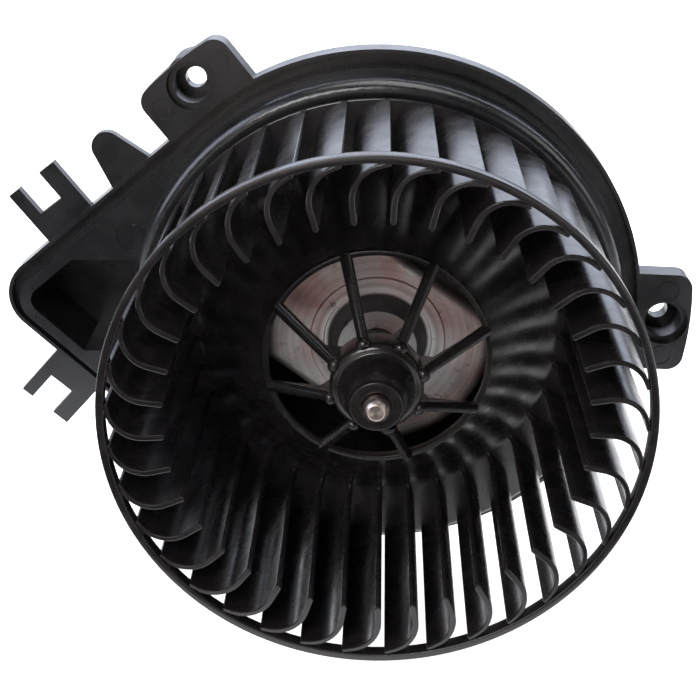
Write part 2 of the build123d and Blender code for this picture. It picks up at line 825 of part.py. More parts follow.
def make_rim():
    """Drop-shaped rim with its groove, the wall inside it and the deck."""
    groove_back = groove_floor + skin
    rim = slab(drop(0) - drop(rim_wall), 0, rim_depth)
    rim += slab(drop(rim_wall / 2) - drop(groove_inset + skin), groove_floor, groove_back)
    rim += slab(drop(groove_inset) - drop(groove_inset + skin), deck_y, groove_back)
    return rim + slab(drop(groove_inset) - Circle(lip_radius + deck_overlap), deck_y, deck_y + skin)


def make_cup():
    """Tube round the motor with a lip at its front, and the bosses for the cover's screws."""
    cup = tube(cup_outer, cup_radius, cup_front, cup_rear)
    cup += tube(cup_radius + overlap, cup_radius - cup_lip, cup_front, cup_front + cup_lip_depth)
    for place in screw_places():
        boss = slab(Pos(*place) * Circle(screw_boss_radius), screw_boss_front, cup_rear)
        cup += boss - slab(Circle(cup_radius + overlap), 0, cup_rear)
    return cup


def make_tabs():
    """Ears, forks and tongue outside the rim."""
    inside = slab(drop(rim_wall), deck_y, 2 * ear_boss_rear)
    tabs = [make_ear(angle) - inside for angle in ear_angles]
    inside = slab(drop(rim_wall / 2), deck_y, 2 * ear_boss_rear)
    return tabs + [tab - inside for tab in (fork(**upper_fork), fork(**lower_fork), tongue())]


def make_ribs():
    """Stiffening ribs behind the rim and behind the well's floor."""
    ribs = []
    outer = rim_radius - rim_wall / 2
    ring = Circle(outer) - Circle(lip_radius - clear)
    strip = bar((cup_radius + clear, -rib_thickness / 2), (outer, rib_thickness / 2))
    for angle in rib_angles:
        ribs.append(slab(spun(strip, angle) & ring, rim_rib_front, rim_rib_rear))
        ribs.append(turned_rib(angle))
    return ribs


def make_flange_housing():
    housing = make_rim() + make_shoulder() + make_cup()
    well = slab(Circle(lip_radius + overlap), lip_y, well_floor + overlap)
    housing += slab(duct_section(0) - Circle(cup_radius + overlap), deck_y + 1, duct_rear) - well
    for piece in make_ribs() + make_tabs():
        housing += piece
    for angle in ear_angles:
        for cut in ear_cuts(angle):
            housing -= cut
    pocket = duct_section(duct_wall) - Circle(shoulder_radius + 0.6)
    housing -= slab(pocket, deck_y - clear, duct_rear - duct_wall)
    tunnel = duct_section(duct_wall) - Circle(cup_outer + 1)
    housing -= slab(tunnel, inner_back, duct_rear - duct_wall)
    vent = bar((-cup_outer - 4, pocket_bottom), (-duct_inner + 3, pocket_top))
    vent -= Circle(cup_radius - cup_lip - 1)
    housing -= slab(vent, vent_front, vent_rear)
    for place in screw_places():
        housing -= slab(Pos(*place) * Circle(screw_pilot), cup_rear - screw_length, cup_rear + clear)
    return housing - mould_mark(deck_mark_place, deck_mark_radius, deck_y)


def turned_rib(angle):
    """Stiffening rib behind the well floor, from the motor cup to the well's slope."""
    low = inner_back - overlap
    corners = ((cup_radius + 1, low), (well_radius + 1, low), (well_radius + 1, inner_back + rib_low),
               (cup_radius + 1, inner_back + rib_depth))
    rib = extrude(make_face(Polyline(*corners, close=True)), amount=rib_thickness / 2, both=True)
    return Rot(0, -angle, 0) * rib


def screw_places():
    places = []
    for number in range(screw_count):
        angle = radians(screw_first_angle + number * 360 / screw_count)
        places.append((screw_circle * cos(angle), screw_circle * sin(angle)))
    return places


# ---------------------------------------------------------------- rear cover, screws, plug and pads
def make_rear_cover():
    """Cap over the motor's rear end: skirt, floor, ring that stops the pads, and screw bosses."""
    inner = cup_outer + cover_gap
    outer = inner + cover_skirt_wall
    cover_rear = cover_floor + cover_thickness
    stop = cup_radius - cover_stop_gap
    cover = tube(outer, inner, cover_skirt_front, cover_floor)
    cover += slab(Circle(outer), cover_floor, cover_rear)
    cover += tube(stop, stop - cover_stop_wall, rear_pad[1] + snug, cover_floor + overlap)
    for place in screw_places():
        boss = slab(Pos(*place) * Circle(screw_boss_radius + cover_boss_wall), cup_rear, cover_rear)
        cover += boss - slab(Circle(inner), 0, cover_floor)
    cover += tube(outer, inner - cover_ledge[0], cup_rear + snug, cup_rear + cover_ledge[1])
    for place in screw_places():
        rear = cover_rear + clear
        hole = slab(Pos(*place) * Circle(screw_radius + screw_hole_gap), cup_rear - clear, rear)
        well = slab(Pos(*place) * Circle(screw_head_radius + head_gap), cup_rear + screw_seat, rear)
        cover = cover - hole - well
    cup_space = tube(inner, stop, cover_skirt_front - clear, cup_rear + snug)
    cover -= cup_space
    for place in screw_places():
        cover -= slab(Pos(*place) * Circle(screw_boss_radius + boss_gap), cover_skirt_front - clear, cup_rear)
    return cover - slab(socket_section(snug), cover_floor - clear, cover_rear + clear)


def socket_section(margin):
    shape = Rectangle(socket_height + 2 * margin, socket_width + 2 * margin)
    return spun(Pos(terminal_offset, 0) * shape, flat_angle + 180)


def make_connector_socket():
    """Two-way plug socket that stands out of the cover."""
    low = cover_floor - socket_flange
    socket = slab(socket_section(0), low, socket_rear)
    socket += slab(socket_section(socket_foot), low, cover_floor - snug)
    hollow = socket_section(-socket_wall)
    socket -= slab(hollow, cover_floor + socket_floor, socket_rear + clear)
    for terminal in terminal_sections(snug):
        socket -= slab(terminal, low - clear, socket_rear)
    return socket


def make_cover_screws():
    seat = cup_rear + screw_seat
    length, width = screw_slot
    cross = Rectangle(length, width) + Rectangle(width, length)
    screws = []
    for place in screw_places():
        shank = slab(Pos(*place) * Circle(screw_radius), cup_rear - screw_length + clear, seat + overlap)
        head = slab(Pos(*place) * Circle(screw_head_radius), seat, seat + screw_head_height)
        recess = slab(Pos(*place) * cross, seat + screw_slot_depth, seat + 2 * screw_head_height)
        screws.append(shank + head - recess)
    return screws


def make_pads(front, rear):
    """Ribbed rubber pads between the motor case's round sides and the cup."""
    outer = cup_radius - pad_gap
    block = slab(sector(outer, can_radius + pad_gap, pad_span / 2), front, rear)
    groove = sector(outer + clear, outer - pad_groove, pad_span)
    for share in (0.25, 0.5, 0.75):
        middle = front + share * (rear - front)
        block -= slab(groove, middle - pad_groove_width / 2, middle + pad_groove_width / 2)
    angles = [round_angle + side + turn for side in (0, 180) for turn in (-pad_offset, pad_offset)]
    return [Rot(0, -angle, 0) * block for angle in angles]


# ---------------------------------------------------------------- write every piece
def main():
    os.makedirs("parts", exist_ok=True)
    save("impeller", make_impeller())
    save("shaft", make_shaft())
    save("armature_core", make_armature_core())
    save("armature_winding", make_winding())
    save("slot_insulators", *make_slot_insulators())
    save("commutator_core", make_commutator_core())
    save("commutator_bars", *make_commutator_bars())
    front_turns = core_front - insulator_thickness - end_turn_depth
    bearing_back = front_bearing_y + bearing_width / 2
    save("front_thrust_washer", make_thrust_washer(bearing_back + slide_gap, front_turns - washer_gap))
    bearing_face = rear_bearing_y - bearing_width / 2
    save("rear_thrust_washer", make_thrust_washer(commutator_rear + washer_gap, bearing_face - slide_gap))
    save("oil_slinger", make_oil_slinger())
    save("motor_can", make_motor_can())
    save("motor_end_cap", make_end_cap())
    for name, magnet in zip(("magnet_right", "magnet_left"), make_magnets()):
        save(name, magnet)
    save("magnet_clips", *make_magnet_clips())
    save("front_bearing", make_bearing(front_bearing_y))
    save("rear_bearing", make_bearing(rear_bearing_y))
    save("front_bearing_retainer", make_retainer(can_front + can_wall, 1, front_bearing_y))
    save("rear_bearing_retainer", make_retainer(can_rear, -1, rear_bearing_y))
    save("front_felt_ring", make_felt(front_bearing_y + felt_overlap - felt_depth))
    save("rear_felt_ring", make_felt(rear_bearing_y - felt_overlap))
    save("brush_card", make_brush_card())
    sides = ("right", "left")
    for side, holder, brush, spring in zip(sides, make_brush_holders(), make_brushes(), make_brush_springs()):
        save(f"brush_holder_{side}", holder)
        save(f"carbon_brush_{side}", brush)
        save(f"brush_spring_{side}", spring)
    cores, coils = make_chokes()
    save("choke_cores", *cores)
    save("choke_coils", *coils)
    save("capacitor", make_capacitor())
    save("terminals", *make_terminals())
    save("connector_socket", make_connector_socket())
    save("flange_housing", make_flange_housing())
    save("rear_cover", make_rear_cover())
    save("cover_screws", *make_cover_screws())
    save("front_rubber_pads", *make_pads(*front_pad))
    save("rear_rubber_pads", *make_pads(*rear_pad))


if __name__ == "__main__":
    main()
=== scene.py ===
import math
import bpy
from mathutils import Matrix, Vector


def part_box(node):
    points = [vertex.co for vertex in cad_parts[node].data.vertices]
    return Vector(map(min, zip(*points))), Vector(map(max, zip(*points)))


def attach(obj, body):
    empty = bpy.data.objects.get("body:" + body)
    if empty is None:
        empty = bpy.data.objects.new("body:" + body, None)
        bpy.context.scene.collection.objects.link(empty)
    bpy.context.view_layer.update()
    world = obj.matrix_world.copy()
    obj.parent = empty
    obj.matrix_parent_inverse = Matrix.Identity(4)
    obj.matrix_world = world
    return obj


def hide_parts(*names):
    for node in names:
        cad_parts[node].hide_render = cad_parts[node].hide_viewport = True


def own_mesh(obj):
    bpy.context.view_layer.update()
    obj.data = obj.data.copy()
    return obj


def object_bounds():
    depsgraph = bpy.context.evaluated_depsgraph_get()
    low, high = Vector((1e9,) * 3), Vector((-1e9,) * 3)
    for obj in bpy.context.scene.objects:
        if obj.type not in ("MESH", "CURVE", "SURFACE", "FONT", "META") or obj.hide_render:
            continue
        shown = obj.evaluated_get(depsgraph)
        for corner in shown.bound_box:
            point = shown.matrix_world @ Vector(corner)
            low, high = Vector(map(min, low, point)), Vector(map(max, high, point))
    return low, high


bl_info = {
    "name": "Heater Blower",
    "version": (1, 0, 0),
    "blender": (4, 5, 0),
    "location": "View3D > Sidebar > Blower",
    "description": "Models the visible pieces and finishes of a heater blower round its CAD frame",
    "category": "Object",
}

import bpy
from bpy.props import FloatProperty, FloatVectorProperty, IntProperty, PointerProperty
from mathutils import Matrix, Vector

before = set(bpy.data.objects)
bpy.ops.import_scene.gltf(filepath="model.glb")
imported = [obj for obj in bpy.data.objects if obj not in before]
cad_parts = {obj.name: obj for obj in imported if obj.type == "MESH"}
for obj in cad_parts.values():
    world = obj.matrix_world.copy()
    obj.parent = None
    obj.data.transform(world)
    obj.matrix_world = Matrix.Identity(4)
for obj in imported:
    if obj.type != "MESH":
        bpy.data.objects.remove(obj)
CAD_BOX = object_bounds()
MM = 0.001

# places that follow the CAD frame
WHEEL_LOW, WHEEL_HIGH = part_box("impeller")
SHAFT_LOW, SHAFT_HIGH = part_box("shaft")
WHEEL_FRONT = WHEEL_LOW.y
WHEEL_RADIUS = (WHEEL_HIGH.x - WHEEL_LOW.x) / 2
DISC_BACK = WHEEL_HIGH.y
SHAFT_RADIUS = (SHAFT_HIGH.x - SHAFT_LOW.x) / 2
FLOOR_LEVEL = CAD_BOX[0].z

# fineness of round pieces, in steps round the axis
LARGE_ROUND, SMALL_ROUND = 148, 96
# corners closer than this are one, on new pieces and on copies of CAD nodes
MERGE_GAP, COPY_MERGE_GAP = 0.005 * MM, 0.01 * MM
# angles between two faces, in degrees
FLAT_FACES = 2          # up to this, a copy's faces become one
SHARP_EDGES = 28        # from this, an edge is rounded
ROUNDED_SIDES = 50      # the same on a piece with round sides
SMOOTH_EDGES = 35       # up to this, an edge is shaded smooth
SMOOTH_ROUNDED = 40     # the same after the edges are rounded


# ---------------------------------------------------------------- settings
def linear(code):
    """Linear colour of an sRGB hex value."""
    shares = [int(code[place:place + 2], 16) / 255 for place in (1, 3, 5)]
    return tuple(share / 12.92 if share <= 0.04045 else ((share + 0.055) / 1.055) ** 2.4 for share in shares)


def length(name, description, size):
    """A length property with its default in millimetres."""
    return FloatProperty(name=name, description=description, default=size * MM, unit="LENGTH", precision=5)


def angle(name, description, degrees):
    """An angle property with its default in degrees."""
    return FloatProperty(name=name, description=description, default=math.radians(degrees), subtype="ANGLE")


def colour(name, description, code):
    """A colour property with its default as an sRGB hex value."""
    return FloatVectorProperty(name=name, description=description, subtype="COLOR", size=3, min=0.0, max=1.0,
                               default=linear(code))


class BlowerWheelSettings(bpy.types.PropertyGroup):
    """Sizes of the wheel's moulding and of its shaft."""
    ring_wall: length("Ring wall", "Width of the front ring's face", 2.1)
    ring_depth: length("Ring depth", "Length of the front ring along the axis", 4.3)
    blade_count: IntProperty(name="Blades", description="Number of blades", default=37, min=8, max=60)
    blade_first: angle("First blade", "Direction of the first blade's inner edge", 95.9)
    blade_inner: length("Blade inner radius", "Wheel axis to the blades' inner edges", 57.8)
    blade_root: length("Blade root", "Straight part of a blade next to its inner edge", 4.8)
    blade_bend: length("Blade bend", "Radius of a blade's bend", 9.0)
    blade_turn: angle("Blade turn", "Angle that a blade bends through", 85.0)
    blade_tail: length("Blade tail", "Straight part of a blade at the ring", 2.4)
    blade_nose: length("Blade nose", "Thickness of a blade at its inner edge", 1.75)
    blade_edge: length("Blade edge", "Thickness of a blade at its outer edge", 1.2)
    blade_setback: length("Blade setback", "Blade ends behind the ring's face", 0.5)
    blade_foot: length("Blade foot", "Radius where a blade's inner edge runs into the disc", 2.6)
    disc_wall: length("Disc wall", "Thickness of the back disc", 1.6)
    disc_flat: length("Disc flat radius", "Radius where the back disc's slope begins", 56.5)
    window: length("Window", "Radius of the opening in the back disc", 32.9)
    window_lift: length("Window lift", "Window's rim ahead of the flat part of the disc", 20.9)
    bead_width: length("Bead width", "Width of the bead round the window", 1.4)
    bead_height: length("Bead height", "Height of the bead round the window", 1.1)
    bead_overhang: length("Bead overhang", "Bead's reach into the window", 0.3)
    bead_heel: length("Bead heel", "Bead's reach behind the disc", 0.6)
    spoke_count: IntProperty(name="Spokes", description="Number of spokes", default=8, min=3, max=16)
    spoke_first: angle("First spoke", "Direction of the first spoke", 16.2)
    spoke_hub: length("Spoke at hub", "Radius of a spoke's rod at the hub", 1.55)
    spoke_rim: length("Spoke at window", "Radius of a spoke's rod at the window", 1.9)
    spoke_web: length("Spoke web", "Thickness of the web behind a spoke", 1.5)
    web_depth: length("Web depth", "Depth of a spoke's web at the window", 2.4)
    hub: length("Hub", "Outer radius of the hub", 13.5)
    hub_lift: length("Hub lift", "Hub's edge ahead of the flat part of the disc", 41.1)
    hub_skirt: length("Hub skirt", "Length of the hub's skirt", 8.0)
    hub_wall: length("Hub wall", "Thickness of the hub's skirt", 1.8)
    hub_shoulder: length("Hub shoulder", "Rounding between the hub's cone and its skirt", 2.2)
    collar: length("Collar", "Outer radius of the collar round the shaft", 7.35)
    collar_lift: length("Collar lift", "Collar's face ahead of the flat part of the disc", 54.1)
    hub_core: length("Hub core", "Outer radius of the hub's core behind the cone", 6.6)
    hub_back: length("Hub back", "Rear end of the hub's core ahead of the flat part of the disc", 21.8)
    shaft_taper: length("Shaft taper", "Radius that the shaft loses towards its front end", 1.7)
    shaft_taper_length: length("Shaft taper length", "Length of the shaft's taper", 3.6)
    shaft_chamfer: length("Shaft chamfer", "Chamfer of the shaft's rear end", 0.8)


class BlowerEdgeSettings(bpy.types.PropertyGroup):
    """Roundings that a mould or a press leaves on an edge."""
    wheel: length("Wheel edges", "Rounding of the wheel's edges", 0.3)
    housing: length("Housing edges", "Rounding of the housing's edges", 0.35)
    sheet: length("Sheet edges", "Rounding of the pressed sheet's edges", 0.3)
    small: length("Small edges", "Rounding of small pieces' edges", 0.2)
    shaft: length("Shaft edges", "Rounding of the shaft's edges", 0.15)


class BlowerColours(bpy.types.PropertyGroup):
    """Colours of the finishes."""
    wheel: colour("Wheel", "Wheel moulding", "#161415")
    wheel_pale: colour("Wheel, pale", "Paler patches of the wheel moulding", "#201c1c")
    housing: colour("Housing", "Housing moulding", "#111113")
    housing_pale: colour("Housing, pale", "Paler patches of the housing moulding", "#19191c")
    zinc: colour("Zinc", "Plated case", "#d2d0d0")
    zinc_warm: colour("Zinc, warm", "Pink tint in the plating", "#bd9a95")
    zinc_dark: colour("Zinc, dark", "Rings left by drawing", "#6e6765")
    zinc_smudge: colour("Zinc, smudged", "Smudges on the plating", "#2a2625")
    # painted shade: a dark ring laid on the groove round the bearing's boss
    zinc_groove_shade: colour("Zinc, groove", "Groove round the bearing's boss", "#2b3036")
    # painted highlight: a bright ring laid on the bend beside the groove
    zinc_bend_highlight: colour("Zinc, painted highlight", "Bend beside the groove", "#f0f0f0")
    ground: colour("Ground steel", "Shaft", "#d8d0c8")
    # painted reflection: a warm tint on the shaft's rings that stands in for warm surroundings mirrored in
    # the steel
    ground_reflection_tint: colour("Ground steel, warm", "Rings on the shaft", "#b09a90")
    laminations: colour("Laminations", "Armature stack", "#77777c")
    lamination_gaps: colour("Lamination gaps", "Gaps between the stack's sheets", "#3d3c40")
    enamel: colour("Enamelled copper", "Wound wire", "#a8552a")
    # painted shade: a dark colour laid in the gaps between the wire's turns
    enamel_gap_shade: colour("Enamelled copper, dark", "Gaps between the wire's turns", "#5a2412")
    bare_copper: colour("Bare copper", "Commutator", "#d08a5c")
    nylon: colour("Nylon", "Insulators", "#ddd6c2")
    nylon_dark: colour("Nylon, dark", "Darker patches of the nylon", "#c9c0a8")
    rubber: colour("Rubber", "Slinger and pads", "#111112")
    rubber_pale: colour("Rubber, pale", "Paler speckle of the rubber", "#1d1d1f")
    ferrite: colour("Ferrite", "Magnets and choke cores", "#3a3a3d")
    ferrite_pale: colour("Ferrite, pale", "Paler grains of the ferrite", "#4c4c50")
    spring: colour("Spring steel", "Clips, retainers and springs", "#9a9a9e")
    bronze: colour("Bronze", "Bearings", "#a3825a")
    felt: colour("Felt", "Oil felts", "#b7aa8a")
    felt_dark: colour("Felt, dark", "Oiled patches of the felts", "#8c7f60")
    card: colour("Paper laminate", "Brush card and capacitor", "#6b4630")
    card_dark: colour("Paper laminate, dark", "Darker mottle of the laminate", "#4d3122")
    brass: colour("Brass", "Holders and terminals", "#c9a765")
    carbon: colour("Carbon", "Brushes", "#2b2b2d")
    carbon_pale: colour("Carbon, pale", "Paler grains of the brushes", "#3b3a3a")
    floor: colour("Floor", "Studio floor", "#f7f7f7")
    floor_shade: colour("Floor, shade", "Darker patches of the floor", "#efefef")
    sky: colour("Sky", "Background over the floor", "#dfe6f2")


# ---------------------------------------------------------------- modelling
def select_only(*pieces):
    """Deselect everything but these pieces, and make the first one active."""
    bpy.ops.object.select_all(action="DESELECT")
    for piece in pieces:
        piece.select_set(True)
    if pieces:
        bpy.context.view_layer.objects.active = pieces[0]


def draw(name, points):
    """A chain of edges, drawn from point to point by extruding one vertex. It stays in edit mode."""
    select_only()
    bpy.ops.mesh.primitive_plane_add(size=MM)
    piece = bpy.context.object
    piece.name = name
    piece.data.name = name
    bpy.ops.object.mode_set(mode="EDIT")
    bpy.ops.mesh.merge(type="CENTER")
    bpy.ops.transform.translate(value=points[0])
    for here, there in zip(points, points[1:]):
        step = Vector(there) - Vector(here)
        bpy.ops.mesh.extrude_region_move(TRANSFORM_OT_translate={"value": step})
    return piece


def select_vertices(piece, test):
    """Select only the vertices that pass a test, and stay in edit mode."""
    bpy.ops.object.mode_set(mode="EDIT")
    bpy.ops.mesh.select_all(action="DESELECT")
    bpy.ops.object.mode_set(mode="OBJECT")
    for vertex in piece.data.vertices:
        vertex.select = test(vertex)
    bpy.ops.object.mode_set(mode="EDIT")


def close_chain(piece):
    """Join the two ends of a drawn chain with an edge, and select the whole chain."""
    bpy.ops.object.mode_set(mode="OBJECT")
    uses = [0] * len(piece.data.vertices)
    for edge in piece.data.edges:
        for corner in edge.vertices:
            uses[corner] += 1
    select_vertices(piece, lambda vertex: uses[vertex.index] == 1)
    bpy.ops.mesh.edge_face_add()
    bpy.ops.mesh.select_all(action="SELECT")


def tidy():
    """Merge doubles, turn all faces outwards, and smooth every edge but the sharp ones."""
    bpy.ops.object.mode_set(mode="EDIT")
    bpy.ops.mesh.select_all(action="SELECT")
    bpy.ops.mesh.remove_doubles(threshold=MERGE_GAP)
    bpy.ops.mesh.normals_make_consistent(inside=False)
    bpy.ops.object.mode_set(mode="OBJECT")
    bpy.ops.object.shade_smooth_by_angle(angle=math.radians(SMOOTH_EDGES))


def spin_ring(name, corners, rounding=0.0, steps=LARGE_ROUND):
    """A ring spun about the wheel axis from its (radius, y) corners, which are rounded first."""
    piece = draw(name, [(radius, y, 0) for radius, y in corners])
    close_chain(piece)
    if rounding:
        bpy.ops.mesh.bevel(offset=rounding, segments=3, affect="VERTICES", clamp_overlap=True)
        bpy.ops.mesh.select_all(action="SELECT")
    bpy.ops.mesh.spin(steps=steps, angle=2 * math.pi, center=(0, 0, 0), axis=(0, 1, 0))
    tidy()
    return piece


def push_plate(name, outline, depths):
    """A bar with an (x, z) outline, pushed from depth to depth along the axis."""
    piece = draw(name, [(x, depths[0], z) for x, z in outline])
    close_chain(piece)
    bpy.ops.mesh.edge_face_add()
    for here, there in zip(depths, depths[1:]):
        bpy.ops.mesh.extrude_region_move(TRANSFORM_OT_translate={"value": (0, there - here, 0)})
    tidy()
    return piece


def soften(piece, width, limit=SHARP_EDGES):
    """Round the edges sharper than a limit with a bevel, and keep the faces between them flat to the eye."""
    select_only(piece)
    bevel = piece.modifiers.new("edges", "BEVEL")
    bevel.width = width
    bevel.segments = 2
    bevel.limit_method = "ANGLE"
    bevel.angle_limit = math.radians(limit)
    bpy.ops.object.modifier_apply(modifier="edges")
    bpy.ops.object.shade_smooth_by_angle(angle=math.radians(SMOOTH_ROUNDED))
    flat = piece.modifiers.new("flat_faces", "WEIGHTED_NORMAL")
    flat.keep_sharp = True
    bpy.ops.object.modifier_apply(modifier="flat_faces")


def join(pieces):
    """Join pieces into the first one."""
    select_only(*pieces)
    bpy.ops.object.join()
    return pieces[0]


def repeat_round(piece, count, first, step):
    """Copies of a piece round the wheel axis, each with its own mesh, joined into one."""
    source = piece.data.copy()
    copies = [piece]
    piece.data.transform(Matrix.Rotation(-first, 4, "Y"))
    for number in range(1, count):
        twin = bpy.data.objects.new(piece.name, source.copy())
        twin.data.transform(Matrix.Rotation(-first - number * step, 4, "Y"))
        bpy.context.scene.collection.objects.link(twin)
        copies.append(twin)
    bpy.data.meshes.remove(source)
    return join(copies)


def glide(start, end, start_slope, end_slope, count):
    """Points of a smooth (radius, y) curve between two points, with a slope at each."""
    run = end[0] - start[0]
    points = []
    for number in range(count + 1):
        t = number / count
        y = (2 * t ** 3 - 3 * t ** 2 + 1) * start[1] + (t ** 3 - 2 * t ** 2 + t) * run * start_slope
        y += (3 * t ** 2 - 2 * t ** 3) * end[1] + (t ** 3 - t ** 2) * run * end_slope
        points.append((start[0] + t * run, y))
    return points


def give(piece, material, body, slot, *nodes):
    """Give a finished piece its material and the body it moves with, and hide the CAD nodes it stands for.
    Its slot is not used.
    """
    piece.data.materials.clear()
    piece.data.materials.append(material)
    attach(piece, body)
    if nodes:
        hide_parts(*nodes)
    return piece


def rounded_copy(node, name, width, material, body, slot):
    """A merged copy of a CAD node, which stands for it. Its edges are rounded where a width is given."""
    piece = bpy.data.objects.new(name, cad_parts[node].data.copy())
    bpy.context.scene.collection.objects.link(piece)
    select_only(piece)
    bpy.ops.mesh.customdata_custom_splitnormals_clear()
    bpy.ops.object.mode_set(mode="EDIT")
    bpy.ops.mesh.select_all(action="SELECT")
    bpy.ops.mesh.remove_doubles(threshold=COPY_MERGE_GAP)
    bpy.ops.mesh.dissolve_limited(angle_limit=math.radians(FLAT_FACES))
    bpy.ops.object.mode_set(mode="OBJECT")
    if width:
        soften(piece, width)
    else:
        bpy.ops.object.shade_smooth_by_angle(angle=math.radians(SMOOTH_ROUNDED))
    return give(piece, material, body, slot, node)


# ---------------------------------------------------------------- material helpers
# sockets of a Mix node that mixes colours
MIX_SHARE, MIX_UNDER, MIX_OVER, MIX_RESULT = 0, 6, 7, 2
# bands that a Wave texture draws in a metre at a scale of 1
WAVE_BANDS = 3.2


def feed(tree, node, inputs):
    """Give a node's inputs what they take, each a plain value or another node's output."""
    for name, value in inputs.items():
        if isinstance(value, bpy.types.NodeSocket):
            tree.links.new(value, node.inputs[name])
        else:
            node.inputs[name].default_value = value


def add_node(tree, kind, inputs, **settings):
    """Add one node with its settings, and feed its inputs."""
    node = tree.nodes.new(kind)
    for name, value in settings.items():
        setattr(node, name, value)
    feed(tree, node, inputs)
    return node


def start_material(name, **values):
    """A new material: its node tree, its shader and its place on the object. Values go on the shader."""
    material = bpy.data.materials.new(name)
    material.use_nodes = True
    tree = material.node_tree
    shader = tree.nodes["Principled BSDF"]
    feed(tree, shader, {key.replace("_", " "): value for key, value in values.items()})
    where = add_node(tree, "ShaderNodeTexCoord", {}).outputs["Object"]
    return material, tree, shader, where


def lay_over(tree, under, over, pattern, low=0.0, high=1.0, strength=1.0):
    """Lay a colour over a colour or an output: none of it where the pattern is low, most where it is high."""
    if not isinstance(under, bpy.types.NodeSocket):
        under = (*under, 1)
    share = add_node(tree, "ShaderNodeMapRange", {
        "Value": pattern, "From Min": low, "From Max": high, "To Max": strength})
    mix = add_node(tree, "ShaderNodeMix", {
        MIX_SHARE: share.outputs[0], MIX_UNDER: under, MIX_OVER: (*over, 1)}, data_type="RGBA")
    return mix.outputs[MIX_RESULT]


def finish_material(tree, shader, tint, marks, roughness, height, strength, depth, span=(0.3, 0.7)):
    """Give the shader its colour, a roughness that follows the marks, and relief of a given depth."""
    gloss = add_node(tree, "ShaderNodeMapRange", {
        "Value": marks, "From Min": span[0], "From Max": span[1],
        "To Min": roughness[0], "To Max": roughness[1]})
    relief = add_node(tree, "ShaderNodeBump", {"Height": height, "Strength": strength, "Distance": depth})
    feed(tree, shader, {"Base Color": tint, "Roughness": gloss.outputs[0], "Normal": relief.outputs[0]})


def radius_of(tree, where):
    """Distance from the wheel axis."""
    flat = add_node(tree, "ShaderNodeVectorMath", {0: where, 1: (1, 0, 1)}, operation="MULTIPLY")
    return add_node(tree, "ShaderNodeVectorMath", {0: flat.outputs[0]}, operation="LENGTH").outputs["Value"]


# ---------------------------------------------------------------- finishes
def moulded(name, base, pale, roughness, grain, relief, cloud):
    """Injection-moulded polypropylene: satin and faintly cloudy, with the mould's spark-eroded grain.

    A real grain is about a quarter as coarse. This one is drawn coarser so that it shows.
    """
    material, tree, shader, where = start_material(name, IOR=1.49)
    clouds = add_node(tree, "ShaderNodeTexNoise", {
        "Vector": where, "Scale": 1 / cloud, "Detail": 5.0, "Roughness": 0.6}).outputs["Fac"]
    grains = add_node(tree, "ShaderNodeTexNoise", {
        "Vector": where, "Scale": 1 / grain, "Detail": 3.0, "Roughness": 0.55}).outputs["Fac"]
    tint = lay_over(tree, base, pale, clouds, 0.42, 0.75)
    finish_material(tree, shader, tint, clouds, (roughness - 0.05, roughness + 0.07),
                    grains, relief, 0.03 * MM)
    return material


def wheel_plastic(colours):
    """Glass-filled polypropylene: a little glossier than the housing, with flow clouds about 7 mm wide."""
    return moulded("moulded_polypropylene_wheel", colours.wheel, colours.wheel_pale, roughness=0.25,
                   grain=0.4 * MM, relief=0.05, cloud=7 * MM)


def housing_plastic(colours):
    """Talc-filled polypropylene: satin, with flow clouds about 12 mm wide."""
    return moulded("moulded_polypropylene_housing", colours.housing, colours.housing_pale, roughness=0.27,
                   grain=0.35 * MM, relief=0.06, cloud=12 * MM)


def plated_case(colours):
    """Zinc-plated deep-drawn steel: rings left by drawing, a pink passivate and dark smudges.

    A ring of painted shade darkens the groove round the bearing's boss, and a ring of painted highlight
    brightens the bend beside it.
    """
    material, tree, shader, where = start_material("zinc_plated_steel_case", Metallic=1.0)
    radius = radius_of(tree, where)
    rings = add_node(tree, "ShaderNodeTexNoise", {
        "W": radius, "Scale": 1 / (2.4 * MM), "Detail": 5.0, "Roughness": 0.6},
        noise_dimensions="1D").outputs["Fac"]
    clouds = add_node(tree, "ShaderNodeTexNoise", {
        "Vector": where, "Scale": 1 / (16 * MM), "Detail": 4.0, "Roughness": 0.55}).outputs["Fac"]
    smudges = add_node(tree, "ShaderNodeTexNoise", {
        "Vector": where, "Scale": 1 / (4.5 * MM), "Detail": 8.0, "Roughness": 0.75}).outputs["Fac"]
    tint = lay_over(tree, colours.zinc, colours.zinc_warm, clouds, 0.42, 0.68)
    tint = lay_over(tree, tint, colours.zinc_dark, rings, 0.35, 0.7, strength=0.4)
    tint = lay_over(tree, tint, colours.zinc_smudge, smudges, 0.58, 0.68, strength=0.85)
    # radii where a ring of colour starts, is full, begins to fade and ends: painted shade in the groove, then
    # a painted highlight on the bend
    for start, full, fade, end, strength, over in (
            (11.7 * MM, 12.1 * MM, 15.1 * MM, 15.6 * MM, 0.8, colours.zinc_groove_shade),
            (15.6 * MM, 16.0 * MM, 16.6 * MM, 18.0 * MM, 0.6, colours.zinc_bend_highlight)):
        inside = add_node(tree, "ShaderNodeMapRange", {"Value": radius, "From Min": start, "From Max": full})
        outside = add_node(tree, "ShaderNodeMapRange", {
            "Value": radius, "From Min": fade, "From Max": end, "To Min": strength, "To Max": 0.0})
        ring = add_node(tree, "ShaderNodeMath", {
            0: inside.outputs[0], 1: outside.outputs[0]}, operation="MULTIPLY")
        tint = lay_over(tree, tint, over, ring.outputs[0])
    finish_material(tree, shader, tint, rings, (0.48, 0.62), rings, 0.2, 0.02 * MM)
    return material


